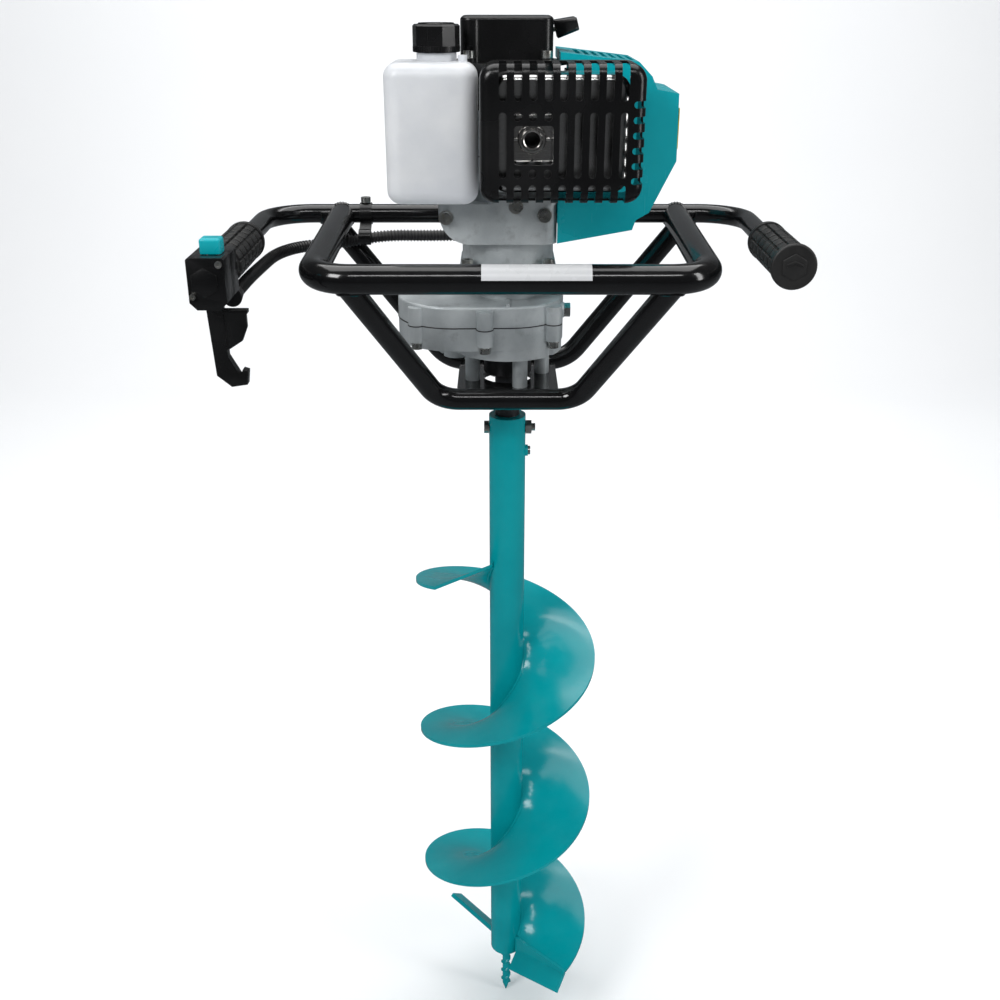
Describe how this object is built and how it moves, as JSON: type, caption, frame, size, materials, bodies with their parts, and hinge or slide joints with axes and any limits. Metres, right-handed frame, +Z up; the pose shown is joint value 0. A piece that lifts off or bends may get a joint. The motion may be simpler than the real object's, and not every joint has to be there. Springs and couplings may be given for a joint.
{
  "type": "ice fishing auger",
  "caption": "Two-handed petrol auger: vertical engine and gearbox in a tubular handle frame, driving a spiral bit with a screw point and two cutting blades.",
  "frame": {"origin": "tip of the pilot screw, on the axis the bit turns about", "axes": "+Z up along the bit axis, -Y towards the operator's front bar and grips, +X towards the cylinder and right grip"},
  "size_m": [0.5285, 0.3386, 1.181],
  "materials": {
    "teal_paint": "gloss",
    "black_paint": "gloss",
    "cast_alloy": "matte as cast",
    "machined_steel": "ground",
    "dark_steel": "oiled dark",
    "zinc_screws": "zinc plated",
    "black_plastic": "satin",
    "rubber_grip": "matte",
    "tank_plastic": "satin translucent white",
    "teal_plastic": "satin gloss",
    "muffler_steel": "heat tinted sheet",
    "label_white": "vinyl",
    "label_yellow": "vinyl",
    "black_hose": "semi gloss",
    "rope_fibre": "braided",
    "coil_epoxy": "potted",
    "amber_rubber": "clear red bulb"
  },
  "bodies": {
    "power_head": {"air_filter_cover": "black_plastic", "base_plate": "black_paint", "bearings": "machined_steel", "cable_clip": "black_plastic", "carburettor": "cast_alloy", "clutch_housing": "cast_alloy", "control_fasteners": "zinc_screws", "crankcase_lower": "cast_alloy", "crankcase_upper": "cast_alloy", "cylinder": "cast_alloy", "cylinder_shroud": "teal_plastic", "engine_screws": "zinc_screws", "fan_housing": "black_plastic", "front_cradle": "black_paint", "front_hoop": "black_paint", "fuel_hose": "black_hose", "fuel_tank": "tank_plastic", "gearbox_bolts": "zinc_screws", "gearbox_lower_case": "cast_alloy", "gearbox_upper_case": "cast_alloy", "handlebar_tube": "black_paint", "ignition_coil": "coil_epoxy", "label_plate": "label_white", "left_grip": "rubber_grip", "muffler": "muffler_steel", "muffler_cover": "black_plastic", "oil_plug": "zinc_screws", "output_bearing_housing": "dark_steel", "rear_cradle": "black_paint", "right_grip": "rubber_grip", "shroud_patch": "label_yellow", "spacer_columns": "cast_alloy", "spark_lead": "black_hose", "spark_plug": "zinc_screws", "starter_housing": "black_plastic", "tank_bracket": "dark_steel", "throttle_cable": "black_hose", "throttle_housing_front": "black_plastic", "throttle_housing_rear": "black_plastic"},
    "auger_bit": {"bit_tube": "teal_paint", "bit_flight": "teal_paint", "cutting_blades": "teal_paint", "pilot_screw": "teal_paint", "coupling_fasteners": "zinc_screws", "output_shaft": "dark_steel", "output_gear": "machined_steel"},
    "layshaft": {"layshaft": "machined_steel"},
    "clutch_drum": {"clutch_drum": "machined_steel"},
    "crank": {"crankshaft": "machined_steel", "clutch_hub": "dark_steel", "flywheel": "cast_alloy"},
    "piston": {"piston": "cast_alloy"},
    "starter_pulley": {"starter_pulley": "black_plastic"},
    "starter_handle": {"starter_handle": "black_plastic", "starter_rope": "rope_fibre"},
    "throttle_lever": {"throttle_lever": "black_plastic"},
    "stop_switch": {"stop_switch": "teal_plastic"},
    "choke_lever": {"choke_lever": "black_plastic"},
    "primer_bulb": {"primer_bulb": "amber_rubber"},
    "fuel_cap": {"fuel_cap": "black_plastic"}
  },
  "joints": [
    {"name": "bit_spin", "type": "hinge", "parent": "power_head", "child": "auger_bit", "pos_m": [0, 0, 0.85], "axis": [0, 0, 1], "continuous": true},
    {"name": "layshaft_spin", "type": "hinge", "parent": "power_head", "child": "layshaft", "pos_m": [-0.05187, 0, 0.89], "axis": [0, 0, 1], "continuous": true},
    {"name": "clutch_drum_spin", "type": "hinge", "parent": "power_head", "child": "clutch_drum", "pos_m": [0, 0, 0.93], "axis": [0, 0, 1], "continuous": true},
    {"name": "crank_spin", "type": "hinge", "parent": "power_head", "child": "crank", "pos_m": [0, 0, 1.05], "axis": [0, 0, 1], "continuous": true},
    {"name": "piston_stroke", "type": "slide", "parent": "power_head", "child": "piston", "axis": [1, 0, 0], "range_m": [-0.03, 0]},
    {"name": "starter_pull", "type": "slide", "parent": "power_head", "child": "starter_handle", "axis": [0.9651, 0, 0.262], "range_m": [0, 0.6]},
    {"name": "starter_pulley_spin", "type": "hinge", "parent": "power_head", "child": "starter_pulley", "pos_m": [0, 0, 1.152], "axis": [0, 0, 1], "range_deg": [0, 1530]},
    {"name": "throttle_squeeze", "type": "hinge", "parent": "power_head", "child": "throttle_lever", "pos_m": [-0.2465, -0.18, 0.969], "axis": [1, 0, 0], "range_deg": [0, 28], "stiffness_Nm_per_rad": 0.8, "springref_deg": -17.19},
    {"name": "stop_switch_slide", "type": "slide", "parent": "power_head", "child": "stop_switch", "axis": [1, 0, 0], "range_m": [-0.003, 0.003]},
    {"name": "choke_turn", "type": "hinge", "parent": "power_head", "child": "choke_lever", "pos_m": [0.0943, 0.084, 1.074], "axis": [1, 0, 0], "range_deg": [0, 45]},
    {"name": "primer_press", "type": "slide", "parent": "power_head", "child": "primer_bulb", "axis": [1, 0, 0], "range_m": [0, 0.003], "stiffness_N_per_m": 400},
    {"name": "fuel_cap_turn", "type": "hinge", "parent": "power_head", "child": "fuel_cap", "pos_m": [-0.063, -0.05, 1.16], "axis": [0, 0, 1], "range_deg": [0, 540]}
  ],
  "couplings": [
    {"joint": "layshaft_spin", "follows": "bit_spin", "ratio": -5.3846},
    {"joint": "clutch_drum_spin", "follows": "bit_spin", "ratio": 31.859},
    {"joint": "starter_pulley_spin", "follows": "starter_pull", "rad_per_m": 44.444}
  ]
}
